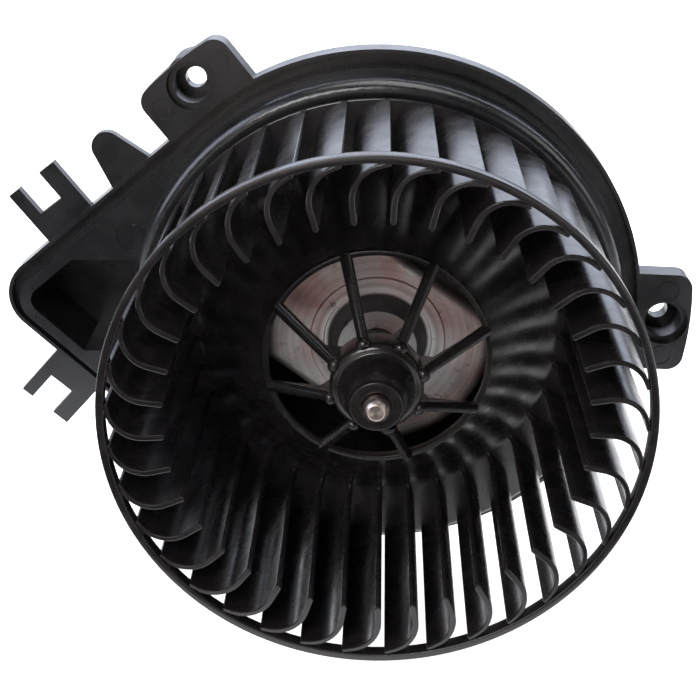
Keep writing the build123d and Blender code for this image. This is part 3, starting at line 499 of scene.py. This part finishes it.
def metal(name, base, roughness, size, relief=0.1):
    """A plain metal whose colour and gloss vary a little, at the size of its working marks."""
    material, tree, shader, where = start_material(name, Metallic=1.0)
    marks = add_node(tree, "ShaderNodeTexNoise", {
        "Vector": where, "Scale": 1 / size, "Detail": 4.0, "Roughness": 0.55}).outputs["Fac"]
    darker = tuple(share * 0.72 for share in base)
    tint = lay_over(tree, base, darker, marks, 0.4, 0.7)
    finish_material(tree, shader, tint, marks, (roughness - 0.06, roughness + 0.08), marks, relief, 0.02 * MM)
    return material


def ground_shaft(colours):
    """Ground shaft steel, turned on its end: its rings draw the highlight out across them.

    Real rings are finer. These are 0.25 mm apart so that they show. Their warm tint is a painted reflection
    of warm surroundings.
    """
    material, tree, shader, where = start_material("ground_steel_shaft", Metallic=1.0, Anisotropic=0.6)
    rings = add_node(tree, "ShaderNodeTexNoise", {
        "W": radius_of(tree, where), "Scale": 1 / (0.25 * MM), "Detail": 2.0},
        noise_dimensions="1D").outputs["Fac"]
    wear = add_node(tree, "ShaderNodeTexNoise", {
        "Vector": where, "Scale": 1 / (1.5 * MM), "Detail": 3.0, "Roughness": 0.55}).outputs["Fac"]
    # the rings are turning marks; their warm tint is a painted reflection
    tint = lay_over(tree, colours.ground, colours.ground_reflection_tint, rings, 0.3, 0.7)
    finish_material(tree, shader, tint, wear, (0.3, 0.4), rings, 0.1, 0.01 * MM)
    around = add_node(tree, "ShaderNodeTangent", {}, direction_type="RADIAL", axis="Y")
    feed(tree, shader, {"Tangent": around.outputs[0]})
    return material


def dull(name, base, other, roughness, size, relief, depth=0.05 * MM):
    """A non-metal with speckle and relief of one size."""
    material, tree, shader, where = start_material(name)
    speckle = add_node(tree, "ShaderNodeTexNoise", {
        "Vector": where, "Scale": 1 / size, "Detail": 5.0, "Roughness": 0.65}).outputs["Fac"]
    tint = lay_over(tree, base, other, speckle, 0.35, 0.7)
    finish_material(tree, shader, tint, speckle, (roughness - 0.05, roughness + 0.08), speckle, relief, depth)
    return material


def laminated_stack(colours):
    """Stamped electrical steel: sheets 0.5 mm thick, seen as lines across the stack."""
    material, tree, shader, where = start_material("stamped_lamination_steel", Metallic=1.0)
    sheets = add_node(tree, "ShaderNodeTexWave", {
        "Vector": where, "Scale": 1 / (0.5 * MM) / WAVE_BANDS, "Distortion": 0.1},
        wave_type="BANDS", bands_direction="Y").outputs["Fac"]
    wear = add_node(tree, "ShaderNodeTexNoise", {
        "Vector": where, "Scale": 1 / (2 * MM), "Detail": 3.0, "Roughness": 0.55}).outputs["Fac"]
    tint = lay_over(tree, colours.laminations, colours.lamination_gaps, sheets)
    finish_material(tree, shader, tint, wear, (0.38, 0.52), sheets, 0.4, 0.05 * MM)
    return material


def wound_wire(colours):
    """Enamelled copper wire: turns 0.8 mm thick, glossy on top, with painted shade between them."""
    material, tree, shader, where = start_material("enamelled_copper_wire", Metallic=0.8)
    turns = add_node(tree, "ShaderNodeTexWave", {
        "Vector": where, "Scale": 1 / (0.8 * MM) / WAVE_BANDS, "Distortion": 1.5, "Detail": 1.0,
        "Detail Scale": 0.6}, wave_type="BANDS", bands_direction="DIAGONAL").outputs["Fac"]
    # painted shade in the crevices between the turns
    tint = lay_over(tree, colours.enamel_gap_shade, colours.enamel, turns)
    finish_material(tree, shader, tint, turns, (0.42, 0.26), turns, 0.8, 0.2 * MM, span=(0.0, 1.0))
    return material


# ---------------------------------------------------------------- operators
def settings():
    """The scene's settings for the wheel and shaft, the edges and the colours."""
    scene = bpy.context.scene
    return scene.blower_wheel, scene.blower_edges, scene.blower_colours


def blade_outline(wheel):
    """Outline of one blade on the x axis: round nose, straight root, bend and tail, thinner outwards."""
    bend_steps, nose_steps = 9, 6
    path = [(wheel.blade_inner, 0.0, 0.0), (wheel.blade_inner + wheel.blade_root, 0.0, 0.0)]
    for number in range(1, bend_steps + 1):
        turn = wheel.blade_turn * number / bend_steps
        path.append((path[1][0] + wheel.blade_bend * math.sin(turn),
                     -wheel.blade_bend * (1 - math.cos(turn)), turn))
    x, z, turn = path[-1]
    path.append((x + wheel.blade_tail * math.cos(turn), z - wheel.blade_tail * math.sin(turn), turn))
    walls = {1: [], -1: []}
    for number, (x, z, turn) in enumerate(path):
        share = number / (len(path) - 1)
        half = (wheel.blade_nose * (1 - share) + wheel.blade_edge * share) / 2
        for side in walls:
            walls[side].append((x + side * half * math.sin(turn), z + side * half * math.cos(turn)))
    half = wheel.blade_nose / 2
    nose = []
    for number in range(1, nose_steps):
        turn = math.pi * number / nose_steps
        nose.append((wheel.blade_inner - half * math.sin(turn), -half * math.cos(turn)))
    return walls[1] + walls[-1][::-1] + nose


class BLOWER_OT_wheel_shell(bpy.types.Operator):
    """Model the wheel's front ring, back disc and window bead"""
    bl_idname = "blower.wheel_shell"
    bl_label = "Wheel ring and disc"

    def execute(self, context):
        wheel, edges, colours = settings()
        material = wheel_plastic(colours)
        inner = WHEEL_RADIUS - wheel.ring_wall
        back = WHEEL_FRONT + wheel.ring_depth
        corners = [(WHEEL_RADIUS, WHEEL_FRONT), (WHEEL_RADIUS, back), (inner, back), (inner, WHEEL_FRONT)]
        ring = spin_ring("wheel_front_ring", corners, edges.wheel)
        give(ring, material, "rotor", "wheel_moulding", "impeller")

        flat = DISC_BACK - wheel.disc_wall
        rim = flat - wheel.window_lift
        slope = {"start_slope": 0.62, "end_slope": 0.15, "count": 14}
        front = glide((wheel.window, rim), (wheel.disc_flat, flat), **slope)
        rear = glide((wheel.window, rim + wheel.disc_wall), (wheel.disc_flat, DISC_BACK), **slope)
        disc = spin_ring("wheel_back_disc", front + [(inner, flat), (inner, DISC_BACK)] + rear[::-1])
        soften(disc, edges.wheel)
        give(disc, material, "rotor", "wheel_moulding")

        low = wheel.window - wheel.bead_overhang
        high = wheel.window + wheel.bead_width
        bead_front = rim - wheel.bead_height
        bead_back = rim + wheel.disc_wall + wheel.bead_heel
        corners = [(low, bead_front), (high, bead_front), (high, bead_back), (low, bead_back)]
        bead = spin_ring("wheel_window_bead", corners, edges.wheel)
        give(bead, material, "rotor", "wheel_moulding")
        return {"FINISHED"}


class BLOWER_OT_blades(bpy.types.Operator):
    """Model one blade with its rounded edges and its foot, and copy it round the wheel"""
    bl_idname = "blower.blades"
    bl_label = "Blades"

    def execute(self, context):
        wheel, edges, colours = settings()
        front = WHEEL_FRONT + wheel.blade_setback
        rear = DISC_BACK - wheel.disc_wall / 2
        foot_front = DISC_BACK - wheel.disc_wall - 2 * wheel.blade_foot
        foot_steps = 5
        levels = [foot_front + (rear - foot_front) * number / foot_steps for number in range(foot_steps + 1)]
        blade = push_plate("wheel_blades", blade_outline(wheel), [front] + levels)
        root = wheel.blade_inner + wheel.blade_root / 2
        for number, level in enumerate(levels):
            past = number / foot_steps
            select_vertices(blade, lambda vertex: abs(vertex.co.y - level) < MERGE_GAP and vertex.co.x < root)
            bpy.ops.transform.translate(value=(-wheel.blade_foot * (1 - math.sqrt(1 - past * past)), 0, 0))
        bpy.ops.object.mode_set(mode="OBJECT")
        soften(blade, edges.wheel, limit=ROUNDED_SIDES)
        blades = repeat_round(blade, wheel.blade_count, wheel.blade_first, -2 * math.pi / wheel.blade_count)
        give(blades, bpy.data.materials["moulded_polypropylene_wheel"], "rotor", "wheel_moulding")
        return {"FINISHED"}


class BLOWER_OT_hub(bpy.types.Operator):
    """Model the hub cone with its collar, and the spokes with their webs"""
    bl_idname = "blower.hub"
    bl_label = "Hub and spokes"

    def execute(self, context):
        wheel, edges, colours = settings()
        material = bpy.data.materials["moulded_polypropylene_wheel"]
        flat = DISC_BACK - wheel.disc_wall
        face = flat - wheel.collar_lift
        edge = flat - wheel.hub_lift
        skirt = edge + wheel.hub_skirt
        core_end = flat - wheel.hub_back
        bore = SHAFT_RADIUS + 0.02 * MM
        lead_in, lead_in_depth = 0.35 * MM, 0.5 * MM
        draft, collar_side = 0.25 * MM, 1.5 * MM
        corners = [(bore + lead_in, face), (wheel.collar, face), (wheel.collar + draft, face + collar_side)]

        # the cone runs from behind the collar to the shoulder, and meets it in a small step
        cone_foot, cone_start, step = 1.2 * MM, 3.0 * MM, 0.2 * MM
        brow = edge + 0.5 * MM
        shoulder, shoulder_centre, shoulder_steps = wheel.hub_shoulder, edge + 0.6 * MM, 5
        corners += glide((wheel.collar + cone_foot, face + cone_start),
                         (wheel.hub - shoulder - step, brow - shoulder),
                         start_slope=2.2, end_slope=0.6, count=6)
        for number in range(1, shoulder_steps + 1):
            turn = math.pi / 2 * number / shoulder_steps
            corners.append((wheel.hub - shoulder * (1 - math.sin(turn)),
                            shoulder_centre - shoulder * math.cos(turn)))

        # the skirt, the hollow behind the cone, and the core round the shaft
        inside, hollow = wheel.hub - wheel.hub_wall, 4.0 * MM
        corners += [(wheel.hub, skirt), (inside, skirt), (inside, brow), (wheel.hub_core, edge - hollow),
                    (wheel.hub_core, core_end), (bore, core_end), (bore, face + lead_in_depth)]
        hub = spin_ring("wheel_hub", corners, edges.wheel, steps=SMALL_ROUND)
        give(hub, material, "rotor", "wheel_moulding")

        # a spoke's rod runs from just inside the hub's edge to just inside the bead
        rim = flat - wheel.window_lift
        hub_bite, bead_bite = 1.0 * MM, 0.6 * MM
        start = Vector((wheel.hub - hub_bite, shoulder_centre, 0))
        finish = Vector((wheel.window + bead_bite, rim + 0.1 * MM, 0))
        along = finish - start
        bpy.ops.object.select_all(action="DESELECT")
        bpy.ops.mesh.primitive_cone_add(vertices=28, radius1=wheel.spoke_hub, radius2=wheel.spoke_rim,
                                        depth=along.length, location=(start + finish) / 2,
                                        rotation=along.to_track_quat("Z", "Y").to_euler())
        rod = bpy.context.object
        rod.name = "wheel_spokes"
        bpy.ops.object.transform_apply()
        soften(rod, edges.wheel, limit=ROUNDED_SIDES)

        # the web behind it starts in the core, passes under the skirt and is shallow at the bead
        core_bite, skirt_clear, skirt_drop = 1 * MM, 3.5 * MM, 1.5 * MM
        root = wheel.hub_core - core_bite
        web = draw("web", [(root, edge - core_bite, 0), tuple(start), tuple(finish),
                           (finish.x, finish.y + wheel.web_depth, 0),
                           (wheel.hub + skirt_clear, skirt + skirt_drop, 0), (root, core_end + core_bite, 0)])
        close_chain(web)
        bpy.ops.mesh.edge_face_add()
        bpy.ops.transform.translate(value=(0, 0, -wheel.spoke_web / 2))
        bpy.ops.mesh.extrude_region_move(TRANSFORM_OT_translate={"value": (0, 0, wheel.spoke_web)})
        tidy()
        soften(web, edges.wheel)

        # a small ball, wider than the rod, stands where the rod leaves the hub
        ball_share, ball_offset = 1.3, 0.3 * MM
        bpy.ops.object.select_all(action="DESELECT")
        bpy.ops.mesh.primitive_uv_sphere_add(segments=24, ring_count=14, radius=wheel.spoke_hub * ball_share,
                                             location=(wheel.hub + ball_offset, edge + ball_offset, 0))
        ball = bpy.context.object
        bpy.ops.transform.resize(value=(0.9, 1.1, 1.1))
        bpy.ops.object.transform_apply()
        bpy.ops.object.shade_smooth()
        spokes = repeat_round(join([rod, web, ball]), wheel.spoke_count, wheel.spoke_first,
                              2 * math.pi / wheel.spoke_count)
        give(spokes, material, "rotor", "wheel_moulding")
        return {"FINISHED"}


class BLOWER_OT_housing(bpy.types.Operator):
    """Round the moulded edges of the flange housing, the rear cover and the plug socket"""
    bl_idname = "blower.housing"
    bl_label = "Housing mouldings"

    def execute(self, context):
        edges, colours = settings()[1:]
        material = housing_plastic(colours)
        for node, width in (("flange_housing", edges.housing), ("rear_cover", edges.housing),
                            ("connector_socket", edges.small)):
            rounded_copy(node, node + "_moulding", width, material, "root", "housing_moulding")
        return {"FINISHED"}


class BLOWER_OT_motor(bpy.types.Operator):
    """Round the pressed edges of the motor's case and cap"""
    bl_idname = "blower.motor"
    bl_label = "Motor case"

    def execute(self, context):
        edges, colours = settings()[1:]
        material = plated_case(colours)
        for node in ("motor_can", "motor_end_cap"):
            rounded_copy(node, node + "_pressing", edges.sheet, material, "root", "case_steel")
        return {"FINISHED"}


class BLOWER_OT_shaft(bpy.types.Operator):
    """Spin the shaft with its tapered end, and round the rubber slinger and pads"""
    bl_idname = "blower.shaft"
    bl_label = "Shaft and rubbers"

    def execute(self, context):
        wheel, edges, colours = settings()
        taper = wheel.shaft_taper
        chamfer = wheel.shaft_chamfer
        front, rear = SHAFT_LOW.y, SHAFT_HIGH.y
        # the taper is a little domed: shares of the taper that are left at two depths behind the end
        left = ((0.52, 0.8 * MM), (0.15, 2.1 * MM))
        dome = [(SHAFT_RADIUS - share * taper, front + depth) for share, depth in left]
        corners = [(0, front), (SHAFT_RADIUS - taper, front), *dome,
                   (SHAFT_RADIUS, front + wheel.shaft_taper_length),
                   (SHAFT_RADIUS, rear - chamfer), (SHAFT_RADIUS - chamfer, rear), (0, rear)]
        shaft = draw("motor_shaft", [(radius, y, 0) for radius, y in corners])
        bpy.ops.mesh.select_all(action="SELECT")
        bpy.ops.mesh.spin(steps=SMALL_ROUND, angle=2 * math.pi, center=(0, 0, 0), axis=(0, 1, 0))
        tidy()
        soften(shaft, edges.shaft, limit=20)
        give(shaft, ground_shaft(colours), "rotor", "shaft_steel", "shaft")

        # moulded rubber: near black and matt, with a fine dusty speckle
        rubber = dull("moulded_rubber", colours.rubber, colours.rubber_pale, 0.55, 0.5 * MM, 0.2)
        rounded_copy("oil_slinger", "oil_slinger_ring", edges.small, rubber, "rotor", "rubber")
        for node in ("front_rubber_pads", "rear_rubber_pads"):
            rounded_copy(node, node + "_blocks", edges.housing, rubber, "root", "rubber")
        return {"FINISHED"}


class BLOWER_OT_finishes(bpy.types.Operator):
    """Copy the brush springs with smooth shading, and give every carried-over CAD piece its finish"""
    bl_idname = "blower.finishes"
    bl_label = "Inner finishes"

    def execute(self, context):
        colours = settings()[2]
        # porous and soft in its gloss, as pressed powder is
        bronze = metal("sintered_bronze", colours.bronze, 0.45, 0.5 * MM, 0.4)
        # cold-rolled strip and wire: grey, with long soft reflections
        spring = metal("rolled_spring_steel", colours.spring, 0.3, 1.5 * MM)
        # stamped sheet: warm yellow and fairly bright
        brass = metal("stamped_brass", colours.brass, 0.28, 2 * MM)
        # barrel-plated heads: pale and lightly scuffed
        screws = metal("zinc_plated_screw_steel", colours.zinc, 0.3, 0.8 * MM)
        # turned and run in: pink, with fine marks
        copper = metal("turned_copper", colours.bare_copper, 0.25, 0.4 * MM, 0.2)
        wire = wound_wire(colours)
        # fired ceramic: charcoal grey and grainy
        ferrite = dull("sintered_ferrite", colours.ferrite, colours.ferrite_pale, 0.6, 0.6 * MM, 0.35)
        # natural nylon: cream and waxy
        nylon = dull("moulded_nylon", colours.nylon, colours.nylon_dark, 0.42, 3 * MM, 0.1)
        # oil-soaked wool: tan, rough and matt
        felt = dull("oiled_wool_felt", colours.felt, colours.felt_dark, 0.85, 0.4 * MM, 0.9, 0.2 * MM)
        # pressed paper in resin: brown, with a mottled sheen
        card = dull("phenolic_paper_laminate", colours.card, colours.card_dark, 0.5, 1.2 * MM, 0.15)
        # pressed carbon: near black, with a graphite sheen
        carbon = dull("sintered_carbon", colours.carbon, colours.carbon_pale, 0.5, 0.3 * MM, 0.3)
        finishes = {
            laminated_stack(colours): ["armature_core"],
            wire: ["armature_winding", "choke_coils"],
            copper: ["commutator_bars"],
            nylon: ["slot_insulators", "commutator_core", "front_thrust_washer", "rear_thrust_washer"],
            ferrite: ["magnet_right", "magnet_left", "choke_cores"],
            spring: ["magnet_clips", "front_bearing_retainer", "rear_bearing_retainer"],
            bronze: ["front_bearing", "rear_bearing"],
            felt: ["front_felt_ring", "rear_felt_ring"],
            card: ["brush_card", "capacitor"],
            brass: ["brush_holder_right", "brush_holder_left", "terminals"],
            carbon: ["carbon_brush_right", "carbon_brush_left"],
            screws: ["cover_screws"],
        }
        for material, names in finishes.items():
            for name in names:
                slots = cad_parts[name].material_slots
                if not slots:
                    raise RuntimeError(f"{name} has no material slot")
                for slot in slots:
                    slot.material = material

        for side in ("right", "left"):
            node = "brush_spring_" + side
            coil = rounded_copy(node, node + "_coil", 0, spring, "root", "spring_steel")
            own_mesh(coil)
        return {"FINISHED"}


# soft lights turned to the origin: place, width and height in metres, watts and tint
COOL, WHITE, WARM = "#e6edff", "#ffffff", "#ffeee4"
LIGHTS = {
    "back_softbox": ((0.0, 1.5, 0.72), (3.0, 1.1), 26, COOL),
    "overhead_softbox": ((0.1, 0.1, 1.1), (0.9, 0.6), 8, WHITE),
    "left_softbox": ((-0.95, -0.2, 0.6), (0.7, 0.9), 11, COOL),
    "right_softbox": ((0.9, -0.1, 0.5), (0.5, 0.7), 3, WHITE),
    "top_softbox": ((-0.35, -0.9, 0.75), (0.6, 0.45), 11, WHITE),
    "front_fill": ((-0.2, -1.2, 0.1), (0.6, 0.4), 1.5, WARM),
}
# the floor and the card in front, in metres
FLOOR_SIZE, FLOOR_PLACE, FLOOR_GLOW = 12, (0, 3), 0.85
CARD_SIZE, CARD_PLACE, CARD_BLACK = (0.6, 0.9), (-0.1, -0.6), (0.004, 0.004, 0.004, 1)
STAGE_GAP = 0.5 * MM
SKY_STRENGTH = 0.85
# the camera's place and the directions of its right side and its back
CAMERA_PLACE = (1.21 * MM, -406.09 * MM, 165.57 * MM)
CAMERA_RIGHT, CAMERA_BACK = (0.9997, 0.025, 0.0), (0.023, -0.914, 0.404)
CAMERA_LENS, CAMERA_SENSOR, CAMERA_NEAR = 69.92, 36, 0.01


class BLOWER_OT_stage(bpy.types.Operator):
    """Lay the pale floor, hang the soft lights and set the camera"""
    bl_idname = "blower.stage"
    bl_label = "Studio"

    def execute(self, context):
        colours = settings()[2]
        scene = context.scene
        bpy.ops.object.select_all(action="DESELECT")
        bpy.ops.mesh.primitive_grid_add(x_subdivisions=4, y_subdivisions=4, size=FLOOR_SIZE,
                                        location=(*FLOOR_PLACE, FLOOR_LEVEL - STAGE_GAP))
        floor = context.object
        floor.name = "studio_floor"
        # matt paper that glows a little, so it stays pale under the object
        material, tree, shader, where = start_material("matt_studio_paper", Roughness=0.8)
        fibres = add_node(tree, "ShaderNodeTexNoise", {
            "Vector": where, "Scale": 1 / 0.6, "Detail": 3.0, "Roughness": 0.55}).outputs["Fac"]
        feed(tree, shader, {"Base Color": lay_over(tree, colours.floor, colours.floor_shade, fibres),
                            "Emission Color": (1, 1, 1, 1), "Emission Strength": FLOOR_GLOW})
        floor.data.materials.append(material)

        # a black card in front, out of the camera's sight: the front faces mirror it and stay dark
        bpy.ops.mesh.primitive_grid_add(x_subdivisions=2, y_subdivisions=2, size=1)
        card = context.object
        card.name = "black_card"
        bpy.ops.transform.resize(value=(*CARD_SIZE, 1))
        bpy.ops.transform.translate(value=(*CARD_PLACE, FLOOR_LEVEL + STAGE_GAP))
        material, tree, shader, where = start_material("matt_black_card", Roughness=0.9)
        feed(tree, shader, {"Base Color": CARD_BLACK})
        card.data.materials.append(material)
        card.visible_camera = False
        card.visible_shadow = False

        for name, (place, size, power, tint) in LIGHTS.items():
            data = bpy.data.lights.new(name, "AREA")
            data.shape = "RECTANGLE"
            data.size, data.size_y = size
            data.energy = power
            data.color = linear(tint)
            light = bpy.data.objects.new(name, data)
            light.visible_camera = False
            light.location = place
            light.rotation_mode = "QUATERNION"
            light.rotation_quaternion = Vector(place).to_track_quat("Z", "Y")
            scene.collection.objects.link(light)

        # a pale sky that the camera sees and that lights nothing
        world = bpy.data.worlds.new("studio")
        scene.world = world
        world.use_nodes = True
        background = world.node_tree.nodes["Background"]
        background.inputs["Color"].default_value = (*colours.sky, 1)
        background.inputs["Strength"].default_value = SKY_STRENGTH
        world.cycles_visibility.diffuse = False
        world.cycles_visibility.glossy = False
        scene.view_settings.view_transform = "Standard"

        camera = bpy.data.objects.new("camera", bpy.data.cameras.new("camera"))
        camera.data.lens = CAMERA_LENS
        camera.data.sensor_width = CAMERA_SENSOR
        camera.data.clip_start = CAMERA_NEAR
        back = Vector(CAMERA_BACK).normalized()
        up = back.cross(Vector(CAMERA_RIGHT).normalized()).normalized()
        turned = Matrix((up.cross(back), up, back)).transposed().to_4x4()
        camera.matrix_world = Matrix.Translation(CAMERA_PLACE) @ turned
        scene.collection.objects.link(camera)
        scene.camera = camera
        return {"FINISHED"}


OPERATORS = (BLOWER_OT_wheel_shell, BLOWER_OT_blades, BLOWER_OT_hub, BLOWER_OT_housing, BLOWER_OT_motor,
             BLOWER_OT_shaft, BLOWER_OT_finishes, BLOWER_OT_stage)


class BLOWER_PT_panel(bpy.types.Panel):
    """Sidebar list of the blower's pieces"""
    bl_idname = "BLOWER_PT_panel"
    bl_label = "Heater Blower"
    bl_space_type = "VIEW_3D"
    bl_region_type = "UI"
    bl_category = "Blower"

    def draw(self, context):
        for operator in OPERATORS:
            self.layout.operator(operator.bl_idname)


CLASSES = (BlowerWheelSettings, BlowerEdgeSettings, BlowerColours, *OPERATORS, BLOWER_PT_panel)


def register():
    """Add the blower's classes and its settings to Blender."""
    for made in CLASSES:
        bpy.utils.register_class(made)
    bpy.types.Scene.blower_wheel = PointerProperty(type=BlowerWheelSettings)
    bpy.types.Scene.blower_edges = PointerProperty(type=BlowerEdgeSettings)
    bpy.types.Scene.blower_colours = PointerProperty(type=BlowerColours)


def unregister():
    """Take the blower's settings and classes out of Blender."""
    del bpy.types.Scene.blower_wheel
    del bpy.types.Scene.blower_edges
    del bpy.types.Scene.blower_colours
    for made in reversed(CLASSES):
        bpy.utils.unregister_class(made)


def main():
    """Build the blower piece by piece."""
    register()
    for operator in OPERATORS:
        group, name = operator.bl_idname.split(".")
        getattr(getattr(bpy.ops, group), name)()


if __name__ == "__main__":
    main()
